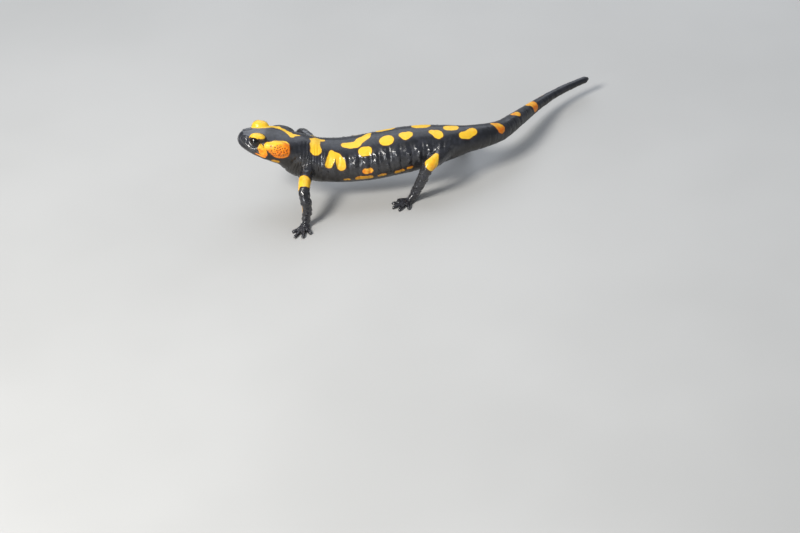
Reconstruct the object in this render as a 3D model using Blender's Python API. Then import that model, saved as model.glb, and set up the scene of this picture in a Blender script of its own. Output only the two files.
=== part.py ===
"""Fire salamander (Salamandra salamandra): a life-size standing model in named solids.

Frame: metres, +Z up, floor at Z = 0, snout towards -X, left side towards -Y.
The animal is modelled whole, from lofted tubes and rounded masses that a voxel remesh
fuses, and is then parted with thin cuts into the pieces that a person would name.
All sizes in the tables are millimetres.
"""
import math

import bmesh
import bpy
import numpy as np
from mathutils import Matrix, Vector

MM = 0.001

# ---- Driving dimensions -------------------------------------------------------------
GAP = 0.3                 # thin cut between two neighbouring solids
VOXEL = 0.5               # grid of the fused body
SMOOTHING_ROUNDS = 5
BODY_TRIANGLES = 4300     # of the whole animal before it is parted

HEAD_LENGTH = 26.2        # snout tip to the neck joint
HEAD_YAW = 8.5            # degrees, turned to the animal's right
HEAD_PITCH = 13.0         # degrees, nose up
NECK_JOINT = (0.0, 0.2, 30.0)

EYE_RADIUS = 3.0
EYE_PLACE = (9.0, 6.3, 4.3)     # behind the snout tip, aside, above the head's axis

# Head sections: behind the snout tip, half width, above and below the head's axis, squareness
HEAD_SECTIONS = (
    (0.0, 0.9, 1.3, 0.3, 2.0),
    (0.7, 3.0, 2.7, 1.5, 2.1),
    (2.0, 4.8, 3.7, 2.5, 2.2),
    (4.0, 6.3, 4.6, 3.3, 2.3),
    (7.0, 7.8, 5.7, 4.1, 2.6),
    (10.5, 8.9, 6.5, 4.8, 2.8),
    (14.5, 9.6, 6.6, 5.8, 2.8),
    (18.5, 9.6, 6.4, 7.3, 2.7),
    (22.5, 9.1, 6.2, 9.0, 2.5),
)

# Neck, trunk and tail: centre x, y, z, half width, above, below, squareness
SPINE_SECTIONS = (
    (1.5, 0.0, 28.2, 8.8, 7.9, 11.2, 2.3),
    (6.0, 0.0, 24.6, 9.4, 9.5, 11.8, 2.2),
    (11.0, 0.0, 21.8, 10.4, 9.7, 11.2, 2.2),
    (18.0, 0.0, 19.9, 11.3, 9.8, 10.5, 2.2),
    (27.0, 0.0, 18.9, 12.0, 9.8, 10.6, 2.2),
    (37.0, 0.0, 18.9, 12.4, 10.2, 10.8, 2.2),
    (47.0, 0.0, 19.4, 12.3, 10.6, 10.6, 2.2),
    (57.0, 0.0, 20.1, 11.7, 10.4, 10.4, 2.2),
    (66.0, 0.0, 20.5, 10.8, 9.5, 9.6, 2.2),
    (76.0, 0.3, 20.8, 9.3, 7.8, 8.1, 2.1),
    (84.0, 1.2, 20.7, 7.0, 6.6, 6.9, 2.0),
    (92.0, 4.0, 19.5, 5.9, 5.8, 6.1, 2.0),
    (101.0, 10.6, 16.9, 5.0, 5.0, 5.2, 2.0),
    (109.5, 21.0, 14.8, 4.1, 4.2, 4.2, 2.0),
    (116.0, 30.6, 12.8, 3.4, 3.5, 3.6, 2.0),
    (123.0, 40.6, 10.8, 2.8, 2.7, 3.0, 2.0),
    (132.0, 49.9, 9.6, 2.2, 2.3, 2.2, 2.0),
    (141.0, 56.7, 9.1, 2.0, 2.0, 1.9, 2.0),
    (148.0, 60.9, 8.9, 1.7, 1.7, 1.7, 2.0),
    (150.8, 62.4, 8.8, 1.45, 1.4, 1.5, 2.0),
    (152.0, 63.0, 8.8, 0.6, 0.6, 0.6, 2.0),
)

# Legs: joint places with the half thickness at each, from inside the body to the ankle;
# the sole's centre and the way it points; and each digit's angle to that way and length
LEGS = {
    "front_left": {
        "joints": ((8.2, -5.0, 22.5, 3.8), (5.2, -12.5, 19.8, 3.2), (3.5, -22.0, 15.8, 2.7),
                   (3.9, -24.6, 9.0, 2.4), (2.6, -25.6, 3.6, 1.9)),
        "sole": (1.5, -27.4), "heading": -100.0,
        "digits": ((-54.0, 4.8), (-24.0, 7.4), (2.0, 7.0), (34.0, 5.0))},
    "front_right": {
        "joints": ((9.6, 6.0, 21.5, 3.8), (8.4, 15.0, 23.0, 3.4), (4.8, 23.3, 22.2, 3.0),
                   (3.2, 28.0, 14.0, 2.5), (3.6, 30.6, 5.0, 1.9)),
        "sole": (3.4, 32.8), "heading": 98.0,
        "digits": ((-36.0, 5.2), (-6.0, 7.2), (22.0, 7.4), (54.0, 4.8))},
    "hind_left": {
        "joints": ((75.0, -4.0, 20.5, 4.6), (70.5, -10.0, 20.0, 3.9), (64.2, -16.0, 18.6, 3.0),
                   (60.3, -16.0, 11.5, 2.65), (56.3, -15.3, 4.3, 2.3)),
        "sole": (53.0, -16.6), "heading": -152.0,
        "digits": ((-50.0, 4.2), (-26.0, 6.4), (-2.0, 7.4), (24.0, 7.0), (56.0, 5.0))},
    "hind_right": {
        "joints": ((75.0, 4.5, 20.0, 4.6), (76.5, 11.0, 18.2, 3.8), (79.0, 17.6, 15.2, 2.9),
                   (81.6, 22.0, 9.4, 2.5), (84.0, 25.0, 4.0, 2.1)),
        "sole": (84.6, 27.4), "heading": 96.0,
        "digits": ((-56.0, 5.0), (-24.0, 7.0), (4.0, 7.4), (30.0, 6.4), (58.0, 4.4))},
}

PALM = (3.0, 2.6, 1.3)    # half length, half width, half thickness of a hand or foot
PALM_SINK = 0.2           # how far the palm's underside is pressed flat
DIGIT_RADIUS = 1.0
DIGIT_HEIGHT = 0.70       # of a digit's middle line over the floor
DIGIT_OVERLAP = 0.4       # of a digit's root with the palm's rim
# Along a digit: share of its length, rise of its middle line, share of its radius
DIGIT_SECTIONS = (
    (0.0, 0.45, 1.05), (0.35, 0.25, 0.95), (0.7, 0.05, 0.88), (0.9, -0.05, 0.8), (1.0, -0.1, 0.35))

# Rounded masses on the head: behind the snout tip, aside, above the axis; three half sizes
LID = ((9.9, 5.9, 6.1), (4.0, 2.9, 2.0))
LOWER_LID = ((9.6, 6.7, 0.2), (3.6, 2.2, 1.3))
PAROTOID = ((20.4, 7.4, 2.3), (6.9, 3.2, 3.9))
JAW_MUSCLE = ((15.2, 7.0, -1.8), (4.4, 2.7, 2.7))

# Cuts across the body, from the neck back: a place on the cut and the way it faces
BODY_CUTS = (
    ("head", (0.5, 0.2, 29.3), (0.92, 0.0, -0.39)),
    ("neck", (2.5, 0.0, 22.0), (0.8, 0.0, -0.6)),
    ("chest", (20.0, 0.0, 19.6), (1.0, 0.0, -0.1)),
    ("trunk", (61.0, 0.0, 20.3), (1.0, 0.0, 0.0)),
    ("pelvis", (85.0, 1.6, 20.6), (1.0, 0.25, 0.0)),
    ("tail_base", (105.0, 15.4, 15.8), (0.62, 0.76, -0.2)),
    ("tail_middle", (127.5, 45.6, 10.4), (0.7, 0.7, -0.1)),
    ("tail_tip", None, None),
)

# The block that holds each leg beyond the flank: low and high corners
LEG_BLOCKS = {
    "front_left": ((-16.0, -48.0, -6.0), (16.0, -11.3, 28.5)),
    "front_right": ((-12.0, 11.3, -6.0), (16.0, 48.0, 28.5)),
    "hind_left": ((38.0, -40.0, -6.0), (84.0, -12.8, 34.0)),
    "hind_right": ((62.0, 11.6, -6.0), (93.0, 44.0, 34.0)),
}
LEG_PIECES = {"front": ("upper_arm", "forearm", "hand"), "hind": ("thigh", "shank", "foot")}

# The mouth: where its line starts and ends behind the snout tip, and its height there
MOUTH_FRONT = (-4.0, 0.1)
MOUTH_CORNER = (15.4, -2.1)
# The piece cut out for each parotoid gland, in the same terms as the masses
PAROTOID_CUT = ((20.4, 8.4, 2.3), (6.8, 4.1, 4.0))

# Colours of the living skin and eye
BLACK_SKIN = (0.018, 0.019, 0.024, 1.0)
YELLOW_SKIN = (0.85, 0.42, 0.02, 1.0)
EYE_COLOUR = (0.004, 0.003, 0.003, 1.0)


# ---- Meshes --------------------------------------------------------------------------
def clear_scene():
    """An empty file."""
    for item in list(bpy.data.objects):
        bpy.data.objects.remove(item, do_unlink=True)


def smooth_rows(rows, step):
    """The rows joined by one smooth curve through their first three columns."""
    rows = np.array(rows, dtype=float)
    spans = np.linalg.norm(np.diff(rows[:, :3], axis=0), axis=1)
    along = np.concatenate(([0.0], np.cumsum(spans)))
    slopes = np.gradient(rows, along, axis=0)
    samples = np.linspace(0.0, along[-1], max(3, round(along[-1] / step)) + 1)
    first = np.clip(np.searchsorted(along, samples, side="right") - 1, 0, len(spans) - 1)
    span = spans[first][:, None]
    t = (samples - along[first])[:, None] / span
    return ((2 * t**3 - 3 * t**2 + 1) * rows[first] + (t**3 - 2 * t**2 + t) * span * slopes[first]
            + (3 * t**2 - 2 * t**3) * rows[first + 1] + (t**3 - t**2) * span * slopes[first + 1])


def loft(rows, upward, step=0.8, around=40):
    """A closed tube: rows of centre x, y, z, half width, half height above, below, squareness."""
    rows = smooth_rows(rows, step)
    tangents = np.gradient(rows[:, :3], axis=0)
    turns = np.linspace(0.0, 2 * math.pi, around, endpoint=False)
    vertices = []
    for row, tangent in zip(rows, tangents):
        forward = Vector(tangent).normalized()
        up = (upward - forward * upward.dot(forward)).normalized()
        side = up.cross(forward)
        power = 2.0 / row[6]
        for turn in turns:
            across = math.copysign(abs(math.cos(turn)) ** power, math.cos(turn)) * row[3]
            height = math.copysign(abs(math.sin(turn)) ** power, math.sin(turn))
            height *= row[4] if height > 0 else row[5]
            vertices.append(Vector(row[:3]) + side * across + up * height)
    faces = [tuple(range(around)), tuple(range(len(vertices) - 1, len(vertices) - around - 1, -1))]
    for ring in range(len(rows) - 1):
        for k in range(around):
            a = ring * around + k
            b = ring * around + (k + 1) % around
            faces.append((a, a + around, b + around, b))
    return vertices, faces


def ellipsoid(centre, half_sizes, turn=None, rings=14, around=24):
    """A rounded mass: centre, three half sizes and an optional rotation."""
    turn = turn or Matrix.Identity(3)
    shape = bmesh.new()
    bmesh.ops.create_uvsphere(shape, u_segments=around, v_segments=rings, radius=1.0)
    vertices = [centre + turn @ Vector(v.co[i] * half_sizes[i] for i in range(3)) for v in shape.verts]
    faces = [tuple(v.index for v in face.verts) for face in shape.faces]
    shape.free()
    return vertices, faces


def mesh_of(shapes, name="shape"):
    """One mesh, in metres, of several closed shapes in millimetres."""
    vertices, faces = [], []
    for shape_vertices, shape_faces in shapes:
        start = len(vertices)
        vertices += [tuple(MM * c for c in v) for v in shape_vertices]
        faces += [tuple(start + i for i in face) for face in shape_faces]
    mesh = bpy.data.meshes.new(name)
    mesh.from_pydata(vertices, [], faces)
    work = bmesh.new()
    work.from_mesh(mesh)
    bmesh.ops.recalc_face_normals(work, faces=work.faces)
    work.to_mesh(mesh)
    work.free()
    return mesh


def with_modifiers(mesh, *settings):
    """The mesh after a stack of modifiers, each a type and its settings."""
    item = bpy.data.objects.new("work", mesh)
    bpy.context.collection.objects.link(item)
    for kind, values in settings:
        modifier = item.modifiers.new(kind.title(), kind)
        for key, value in values.items():
            setattr(modifier, key, value)
    bpy.context.view_layer.update()
    result = bpy.data.meshes.new_from_object(item.evaluated_get(bpy.context.evaluated_depsgraph_get()))
    bpy.data.objects.remove(item, do_unlink=True)
    return result


def boolean(mesh, cutter_mesh, operation):
    """The mesh cut by, or kept inside, a closed cutter."""
    cutter = bpy.data.objects.new("cutter", cutter_mesh)
    bpy.context.collection.objects.link(cutter)
    result = with_modifiers(mesh, ("BOOLEAN", {
        "object": cutter, "operation": operation, "solver": "EXACT"}))
    bpy.data.objects.remove(cutter, do_unlink=True)
    return result


def sliced(mesh, point, normal):
    """The part of a mesh behind a plane, closed along the cut. Point in millimetres."""
    work = bmesh.new()
    work.from_mesh(mesh)
    everything = work.verts[:] + work.edges[:] + work.faces[:]
    cut = bmesh.ops.bisect_plane(
        work, geom=everything, dist=1e-7, plane_co=Vector(point) * MM, plane_no=normal,
        clear_outer=True)
    edges = [e for e in cut["geom_cut"] if isinstance(e, bmesh.types.BMEdge)]
    bmesh.ops.holes_fill(work, edges=edges)
    bmesh.ops.recalc_face_normals(work, faces=work.faces)
    result = bpy.data.meshes.new("slice")
    work.to_mesh(result)
    work.free()
    return result


def between(mesh, start=None, end=None):
    """The length of a mesh between two planes (point, normal along the length), less half a gap."""
    if start:
        normal = Vector(start[1]).normalized()
        mesh = sliced(mesh, Vector(start[0]) + normal * GAP / 2, -normal)
    if end:
        normal = Vector(end[1]).normalized()
        mesh = sliced(mesh, Vector(end[0]) - normal * GAP / 2, normal)
    return mesh


def box_mesh(low, high):
    """A cutter box between two corners in millimetres."""
    corners = [Vector((x, y, z)) for x in (low[0], high[0]) for y in (low[1], high[1])
               for z in (low[2], high[2])]
    faces = [(0, 1, 3, 2), (4, 6, 7, 5), (0, 4, 5, 1), (2, 3, 7, 6), (0, 2, 6, 4), (1, 5, 7, 3)]
    return mesh_of([(corners, faces)], "box")


# ---- The whole animal ----------------------------------------------------------------
def head_axes():
    """The head's forward, left and up directions."""
    yaw = math.radians(HEAD_YAW)
    pitch = math.radians(HEAD_PITCH)
    forward = Vector((-math.cos(yaw) * math.cos(pitch), math.sin(yaw) * math.cos(pitch),
                      math.sin(pitch)))
    left = Vector((-math.sin(yaw), -math.cos(yaw), 0.0))
    return forward, left, forward.cross(left)


def on_head(behind, aside, above):
    """A place on the head: behind the snout tip, to the left, above the axis."""
    forward, left, up = head_axes()
    return Vector(NECK_JOINT) + forward * (HEAD_LENGTH - behind) + left * aside + up * above


def head_turn():
    """The rotation whose axes are the head's backward, left and up directions."""
    forward, left, up = head_axes()
    return Matrix((-forward, left, up)).transposed()


def head_mass(place, half_sizes, side, rings=14, around=24):
    """A rounded mass on one side of the head: +1 left, -1 right."""
    behind, aside, above = place
    return ellipsoid(on_head(behind, side * aside, above), half_sizes, head_turn(), rings, around)


def body_tube():
    """Head, neck, trunk and tail as one tube."""
    rows = [(*on_head(behind, 0.0, 0.0), width, above, below, square)
            for behind, width, above, below, square in HEAD_SECTIONS]
    return loft(rows + list(SPINE_SECTIONS), Vector((0.0, 0.0, 1.0)), around=56)


def leg_shapes(leg):
    """A leg's tube, its palm or sole, and its digits."""
    joints = [(x, y, z, r, r, r, 2.0) for x, y, z, r in leg["joints"]]
    heading = math.radians(leg["heading"])
    sole = Vector((*leg["sole"], PALM[2] - PALM_SINK))
    x, y, z, r = leg["joints"][-1]
    heel = [(x, y, z + 1.0, r, r, r, 2.0), (x, y, z, r, r, r, 2.0),
            (sole.x, sole.y, sole.z + PALM_SINK, PALM[1] - DIGIT_OVERLAP, PALM[2], PALM[2], 2.0)]
    shapes = [
        loft(joints, Vector((1.0, 0.0, 0.0)), step=0.7, around=24),
        loft(heel, Vector((1.0, 0.0, 0.0)), step=0.7, around=24),
        ellipsoid(sole, PALM, Matrix.Rotation(heading, 3, "Z"))]
    for angle, length in leg["digits"]:
        shapes.append(digit(sole, heading + math.radians(angle), length))
    return shapes


def digit(sole, heading, length):
    """A soft round-tipped digit from inside the palm along the floor."""
    direction = Vector((math.cos(heading), math.sin(heading), 0.0))
    rim = PALM[1] - DIGIT_OVERLAP
    r = DIGIT_RADIUS
    rows = [(*(sole + direction * r), r, r, r, 2.0)]
    for share, rise, size in DIGIT_SECTIONS:
        place = sole + direction * (rim + share * length)
        rows.append((place.x, place.y, DIGIT_HEIGHT + rise, r * size, r * size, r * size, 2.0))
    return loft(rows, Vector((0.0, 0.0, 1.0)), step=0.4, around=16)


def whole_animal():
    """All the flesh as one closed surface, flat under the feet."""
    shapes = [body_tube()]
    for side in (1, -1):
        for place, half_sizes in (LID, LOWER_LID, PAROTOID, JAW_MUSCLE):
            shapes.append(head_mass(place, half_sizes, side))
    for leg in LEGS.values():
        shapes += leg_shapes(leg)
    mesh = with_modifiers(
        mesh_of(shapes, "whole"),
        ("REMESH", {"mode": "VOXEL", "voxel_size": VOXEL * MM}),
        ("SMOOTH", {"factor": 0.5, "iterations": SMOOTHING_ROUNDS}))
    triangles = sum(len(face.vertices) - 2 for face in mesh.polygons)
    mesh = with_modifiers(mesh, ("DECIMATE", {"ratio": BODY_TRIANGLES / triangles}))
    return sliced(mesh, (0.0, 0.0, 0.0), Vector((0.0, 0.0, -1.0)))


# ---- Parting -------------------------------------------------------------------------
def mouth_wedge(inset):
    """The space of the lower jaw, pulled in by an inset."""
    front, front_height = MOUTH_FRONT
    corner, corner_height = MOUTH_CORNER
    reach = 16.0
    corners = [
        on_head(behind, side * reach, above)
        for behind, top in ((front, front_height - inset), (corner - inset, corner_height - inset))
        for side in (-1, 1) for above in (-reach, top)]
    faces = [(0, 1, 3, 2), (4, 6, 7, 5), (0, 4, 5, 1), (2, 3, 7, 6), (0, 2, 6, 4), (1, 5, 7, 3)]
    return mesh_of([(corners, faces)], "mouth")


def parotoid_cutter(side, inset):
    """The space of one gland, pulled in by an inset."""
    place, half_sizes = PAROTOID_CUT
    half_sizes = [size - inset for size in half_sizes]
    return mesh_of([head_mass(place, half_sizes, side, rings=9, around=14)], "gland")


def eyeball(side, extra=0.0, rings=10, around=16):
    """One eyeball, or with extra radius its socket."""
    behind, aside, above = EYE_PLACE
    radius = EYE_RADIUS + extra
    turn = head_turn() @ Matrix.Rotation(math.pi / 2, 3, "X")
    return mesh_of([ellipsoid(on_head(behind, side * aside, above), (radius,) * 3, turn,
                              rings, around)], "eye")


def head_pieces(head):
    """Head, lower jaw, parotoid glands and eyes."""
    pieces = {"lower_jaw": boolean(head, mouth_wedge(GAP), "INTERSECT")}
    head = boolean(head, mouth_wedge(0.0), "DIFFERENCE")
    for side, word in ((1, "left"), (-1, "right")):
        pieces["parotoid_" + word] = boolean(head, parotoid_cutter(side, GAP), "INTERSECT")
        head = boolean(head, parotoid_cutter(side, 0.0), "DIFFERENCE")
        head = boolean(head, eyeball(side, GAP), "DIFFERENCE")
        pieces["eye_" + word] = eyeball(side)
    pieces["head"] = head
    return pieces


def leg_pieces(name, mesh):
    """A leg in three lengths, cut across its middle joint and its ankle or wrist."""
    places = [Vector(row[:3]) for row in LEGS[name]["joints"]]
    bend = (places[2], (places[2] - places[1]).normalized() + (places[3] - places[2]).normalized())
    ankle = (places[4], places[4] - places[3])
    lengths = (between(mesh, end=bend), between(mesh, bend, ankle), between(mesh, start=ankle))
    words = LEG_PIECES[name.split("_")[0]]
    return {f"{name}_{word}": length for word, length in zip(words, lengths)}


def parted(whole):
    """Every piece of the animal by name."""
    pieces = {}
    body = whole
    for name, (low, high) in LEG_BLOCKS.items():
        leg = boolean(whole, box_mesh(low, high), "INTERSECT")
        pieces.update(leg_pieces(name, leg))
        inner = Vector((0.0, GAP if low[1] < 0 else -GAP, 0.0))
        body = boolean(body, box_mesh(Vector(low) + inner, Vector(high) + inner), "DIFFERENCE")
    start = None
    for name, place, facing in BODY_CUTS:
        end = (place, facing) if place else None
        pieces[name] = between(body, start, end)
        start = end
    pieces.update(head_pieces(pieces["head"]))
    return pieces


# ---- Objects -------------------------------------------------------------------------
def material_for(name):
    """Each piece's own Principled material."""
    colour, roughness = BLACK_SKIN, 0.34
    if name.startswith("parotoid"):
        colour = YELLOW_SKIN
    if name.startswith("eye"):
        colour, roughness = EYE_COLOUR, 0.06
    material = bpy.data.materials.new(name)
    material.use_nodes = True
    shader = material.node_tree.nodes["Principled BSDF"]
    shader.inputs["Base Color"].default_value = colour
    shader.inputs["Roughness"].default_value = roughness
    shader.inputs["Metallic"].default_value = 0.0
    return material


def main():
    """The finished model, its origin under the middle of its outline on the floor."""
    clear_scene()
    pieces = parted(whole_animal())
    corners = np.array([v.co[:] for mesh in pieces.values() for v in mesh.vertices])
    middle = (corners.min(axis=0) + corners.max(axis=0)) / 2
    for name, mesh in pieces.items():
        mesh.transform(Matrix.Translation((-middle[0], -middle[1], 0.0)))
        mesh.name = name
        mesh.materials.clear()
        mesh.materials.append(material_for(name))
        mesh.shade_smooth()
        mesh.set_sharp_from_angle(angle=math.radians(50))
        bpy.context.collection.objects.link(bpy.data.objects.new(name, mesh))


if __name__ == "__main__":
    main()
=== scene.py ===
"""Looks of the fire salamander: one fine skin with its markings, moist eyes, studio and camera.

The skin is grown from the same sections as the solids it replaces, at a finer grain, and
then gets folds, glands, lids and pores. Tables are in millimetres unless a comment says
otherwise; every mesh is made in metres.
"""
import itertools
import math
import random

import bpy
import numpy as np
from mathutils import Matrix, Vector


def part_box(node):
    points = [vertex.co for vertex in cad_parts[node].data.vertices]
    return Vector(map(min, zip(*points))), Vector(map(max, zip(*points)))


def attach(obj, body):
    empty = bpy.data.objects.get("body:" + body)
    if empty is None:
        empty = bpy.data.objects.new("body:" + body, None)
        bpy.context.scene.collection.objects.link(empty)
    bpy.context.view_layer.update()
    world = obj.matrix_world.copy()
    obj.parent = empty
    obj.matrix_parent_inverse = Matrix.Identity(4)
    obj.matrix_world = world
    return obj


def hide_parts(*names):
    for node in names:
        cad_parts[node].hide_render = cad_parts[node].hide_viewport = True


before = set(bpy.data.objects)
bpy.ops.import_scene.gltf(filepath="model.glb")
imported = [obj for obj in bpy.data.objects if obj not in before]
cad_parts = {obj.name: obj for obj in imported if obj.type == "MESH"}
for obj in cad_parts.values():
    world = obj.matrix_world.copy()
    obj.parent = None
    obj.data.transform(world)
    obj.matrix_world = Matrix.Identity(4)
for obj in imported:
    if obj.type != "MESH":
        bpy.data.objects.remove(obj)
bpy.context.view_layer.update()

MM = 0.001

# ---- The solids' own sizes ----
HEAD_LENGTH = 26.2
HEAD_YAW = 8.5            # degrees, turned to the animal's right
HEAD_PITCH = 13.0         # degrees, nose up
NECK_JOINT = np.array((0.0, 0.2, 30.0))
EYE_RADIUS = 3.0
EYE_PLACE = (9.0, 6.3, 4.3)  # behind the snout tip, aside, above the head's axis

# Head sections: behind the snout tip, half width, above and below the head's axis, squareness
HEAD_SECTIONS = (
    (0.0, 0.9, 1.3, 0.3, 2.0), (0.7, 3.0, 2.7, 1.5, 2.1), (2.0, 4.8, 3.7, 2.5, 2.2),
    (4.0, 6.3, 4.6, 3.3, 2.3), (7.0, 7.8, 5.7, 4.1, 2.6), (10.5, 8.9, 6.5, 4.8, 2.8),
    (14.5, 9.6, 6.6, 5.8, 2.8), (18.5, 9.6, 6.4, 7.3, 2.7), (22.5, 9.1, 6.2, 9.0, 2.5),
)

# Neck, trunk and tail: centre x, y, z, half width, above, below, squareness
SPINE_SECTIONS = (
    (1.5, 0.0, 28.2, 8.8, 7.9, 11.2, 2.3), (6.0, 0.0, 24.6, 9.4, 9.5, 11.8, 2.2),
    (11.0, 0.0, 21.8, 10.4, 9.7, 11.2, 2.2), (18.0, 0.0, 19.9, 11.3, 9.8, 10.5, 2.2),
    (27.0, 0.0, 18.9, 12.0, 9.8, 10.6, 2.2), (37.0, 0.0, 18.9, 12.4, 10.2, 10.8, 2.2),
    (47.0, 0.0, 19.4, 12.3, 10.6, 10.6, 2.2), (57.0, 0.0, 20.1, 11.7, 10.4, 10.4, 2.2),
    (66.0, 0.0, 20.5, 10.8, 9.5, 9.6, 2.2), (76.0, 0.3, 20.8, 9.3, 7.8, 8.1, 2.1),
    (84.0, 1.2, 20.7, 7.0, 6.6, 6.9, 2.0), (92.0, 4.0, 19.5, 5.9, 5.8, 6.1, 2.0),
    (101.0, 10.6, 16.9, 5.0, 5.0, 5.2, 2.0), (109.5, 21.0, 14.8, 4.1, 4.2, 4.2, 2.0),
    (116.0, 30.6, 12.8, 3.4, 3.5, 3.6, 2.0), (123.0, 40.6, 10.8, 2.8, 2.7, 3.0, 2.0),
    (132.0, 49.9, 9.6, 2.2, 2.3, 2.2, 2.0), (141.0, 56.7, 9.1, 2.0, 2.0, 1.9, 2.0),
    (148.0, 60.9, 8.9, 1.7, 1.7, 1.7, 2.0), (150.8, 62.4, 8.8, 1.45, 1.4, 1.5, 2.0),
    (152.0, 63.0, 8.8, 0.6, 0.6, 0.6, 2.0),
)

# Legs: joint places with the half thickness at each, from inside the body to the ankle;
# the sole's centre and the way it points; and each digit's angle to that way and length
LEGS = {
    "front_left": {
        "joints": ((8.2, -5.0, 22.5, 3.8), (5.2, -12.5, 19.8, 3.2), (3.5, -22.0, 15.8, 2.7),
                   (3.9, -24.6, 9.0, 2.4), (2.6, -25.6, 3.6, 1.9)),
        "sole": (1.5, -27.4), "heading": -100,
        "digits": ((-54, 4.8), (-24, 7.4), (2, 7.0), (34, 5.0))},
    "front_right": {
        "joints": ((9.6, 6.0, 21.5, 3.8), (8.4, 15.0, 23.0, 3.4), (4.8, 23.3, 22.2, 3.0),
                   (3.2, 28.0, 14.0, 2.5), (3.6, 30.6, 5.0, 1.9)),
        "sole": (3.4, 32.8), "heading": 98,
        "digits": ((-36, 5.2), (-6, 7.2), (22, 7.4), (54, 4.8))},
    "hind_left": {
        "joints": ((75.0, -4.0, 20.5, 4.6), (70.5, -10.0, 20.0, 3.9), (64.2, -16.0, 18.6, 3.0),
                   (60.3, -16.0, 11.5, 2.65), (56.3, -15.3, 4.3, 2.3)),
        "sole": (53.0, -16.6), "heading": -152,
        "digits": ((-50, 4.2), (-26, 6.4), (-2, 7.4), (24, 7.0), (56, 5.0))},
    "hind_right": {
        "joints": ((75.0, 4.5, 20.0, 4.6), (76.5, 11.0, 18.2, 3.8), (79.0, 17.6, 15.2, 2.9),
                   (81.6, 22.0, 9.4, 2.5), (84.0, 25.0, 4.0, 2.1)),
        "sole": (84.6, 27.4), "heading": 96,
        "digits": ((-56, 5.0), (-24, 7.0), (4, 7.4), (30, 6.4), (58, 4.4))},
}

PALM = (3.0, 2.6, 1.3)    # half length, half width, half thickness of a hand or foot
PALM_SINK = 0.2           # how far the palm's underside is pressed flat
DIGIT_RADIUS = 1.0
DIGIT_HEIGHT = 0.70       # of a digit's middle line over the floor
DIGIT_OVERLAP = 0.4       # of a digit's root with the palm's rim
# Along a digit: share of its length, rise of its middle line, share of its radius
DIGIT_SECTIONS = (
    (0.0, 0.45, 1.05), (0.35, 0.25, 0.95), (0.7, 0.05, 0.88), (0.9, -0.05, 0.8), (1.0, -0.1, 0.35))

# Rounded masses on the head: behind the snout tip, aside, above the axis; three half sizes
LID = ((9.9, 5.9, 6.1), (4.0, 2.9, 2.0))
LOWER_LID = ((9.6, 6.7, 0.2), (3.6, 2.2, 1.3))
PAROTOID = ((20.4, 7.4, 2.3), (6.9, 3.2, 3.9))
JAW_MUSCLE = ((15.2, 7.0, -1.8), (4.4, 2.7, 2.7))
MOUTH_FRONT = (-4.0, 0.1)  # behind the snout tip, above the axis
MOUTH_CORNER = (15.4, -2.1)

# ---- The skin's own sizes ----
UP = (0.0, 0.0, 1.0)
STEP = 0.4                # between the cross-sections of the body and the legs
DIGIT_STEP = 0.25
GRAIN = 0.24  # grid of the fused skin
SMOOTHING_ROUNDS = 14
SOFTENING_ROUNDS = 50  # on the head's top and where the legs leave the body
SKIN_TRIANGLES = 194_000
HEAD_KEPT = 0.55          # how strongly the thinning of triangles spares the head

LID_THICKNESS = 0.42
LID_RIM = 0.07            # how far the lids' rim swells
EYE_HOLLOW = 0.75         # of the skin under the eyeball's surface, inside the opening
EYE_LOOK = (-0.06, 0.935, 0.35)  # the opening's outward way: behind, aside, above
EYE_TILT = -8.0           # degrees, the opening's rear end turned up
EYE_OPENING = (3.1, 2.15)  # half length, half height
EYE_CORNERS = 2.0         # under 2 draws the opening's ends to points
CORNEA_RADIUS = 1.7
CORNEA_BULGE = 0.045      # share of the eyeball's radius
PUPIL_EDGE = (1.05, 1.25)  # from the eye's axis, where the pupil's black ends
IRIS_EDGE = (2.1, 2.5)

COSTAL_START = 40.35      # along the body, of the first groove of the flank
COSTAL_STEP = 5.2
COSTAL_FOLDS = 14
COSTAL_DEPTH = 0.34
NECK_WRINKLE_STEP = 1.45
NECK_LEAN = 0.42          # of the neck's own cross-sections, which its wrinkles don't follow
THROAT_FOLD = 28.2        # along the body
BACK_BEAD_STEP = 2.3
BACK_ROW = 1.9            # of the glands, to each side of the mid back
TAIL_RING_START = 110.0   # along the body
TAIL_RING_STEP = 4.6
ELBOW_OR_KNEE = 19.5      # along the leg
WRIST_OR_ANKLE = 31.0
# Rows of warts on the flank's folds: degrees from the mid back, half width, height
WART_ROWS = ((52.0, 0.85, 0.16), (61.0, 0.9, 0.50), (71.5, 0.95, 0.62), (82.5, 0.9, 0.50),
             (93.0, 0.9, 0.32), (104.0, 0.9, 0.18))

# Where a relief or a look starts, is full, fades and ends: ALONG the body or the leg, ASIDE in
# degrees from the mid back, BEHIND the snout tip
LEGS_ALONG = (27, 30)     # start and full only
NECK_LEAN_ALONG = (21, 28, 34, 48)
COSTAL_ALONG = (38, 47, 101, 116)
COSTAL_ASIDE = (34, 66, 104, 134)
WARTS_ALONG = (39, 43, 99, 113)
FURROW_ALONG = (28, 40, 104, 118)
NECK_ALONG = (26, 29, 40, 46)
NECK_ASIDE = (14, 40, 150, 175)
TAIL_ALONG = (106, 116, 186, 202)
WRINKLES_ASIDE = (18, 50, 130, 165)
GRAINS_ALONG = (27, 33, 98, 106)
GRAINS_ASIDE = (40, 62, 100, 125)
KNOBS_ALONG = (17, 21, 33, 38)
CROWN_BEHIND = (5, 9, 13, 20)
SOFT_BEHIND = (3, 6, 26, 31)
WET_ALONG = (25, 30, 100, 118)
WET_ASIDE = (40, 60, 88, 112)

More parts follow.
